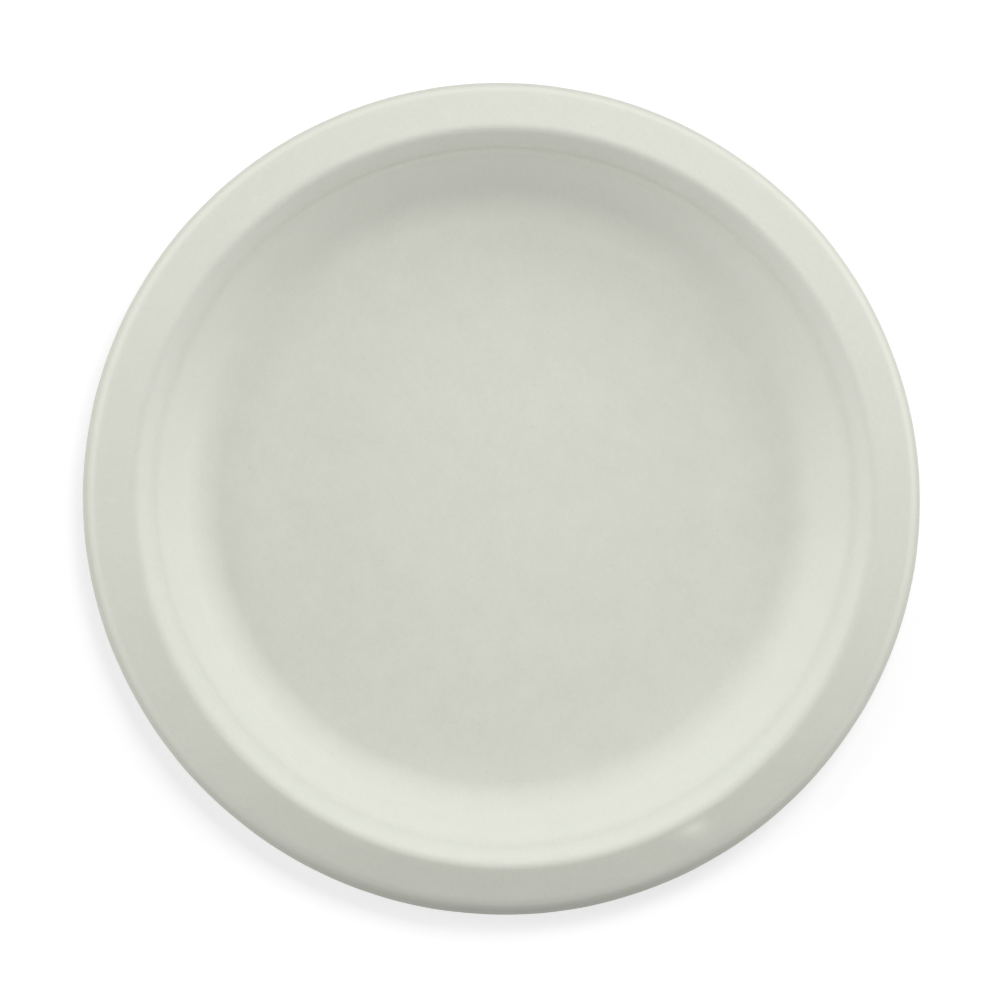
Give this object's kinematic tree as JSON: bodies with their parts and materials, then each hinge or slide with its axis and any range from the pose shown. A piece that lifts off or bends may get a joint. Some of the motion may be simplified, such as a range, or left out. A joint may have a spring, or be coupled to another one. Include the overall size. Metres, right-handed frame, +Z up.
{
  "type": "moulded-fibre paper plate",
  "caption": "Round disposable plate moulded from plant-fibre pulp, with a flat floor, a sloping side wall, a fine stacking ledge, and a brim with a turned-down edge.",
  "frame": {"origin": "centre of the underside of the floor, on the surface that the plate stands on", "axes": "+Z up along the plate's axis; the plate is round, so +X is any radius"},
  "size_m": [0.2286, 0.2286, 0.018],
  "materials": {
    "pulp": "matte"
  },
  "bodies": {
    "root": {"plate": "pulp"}
  },
  "joints": []
}
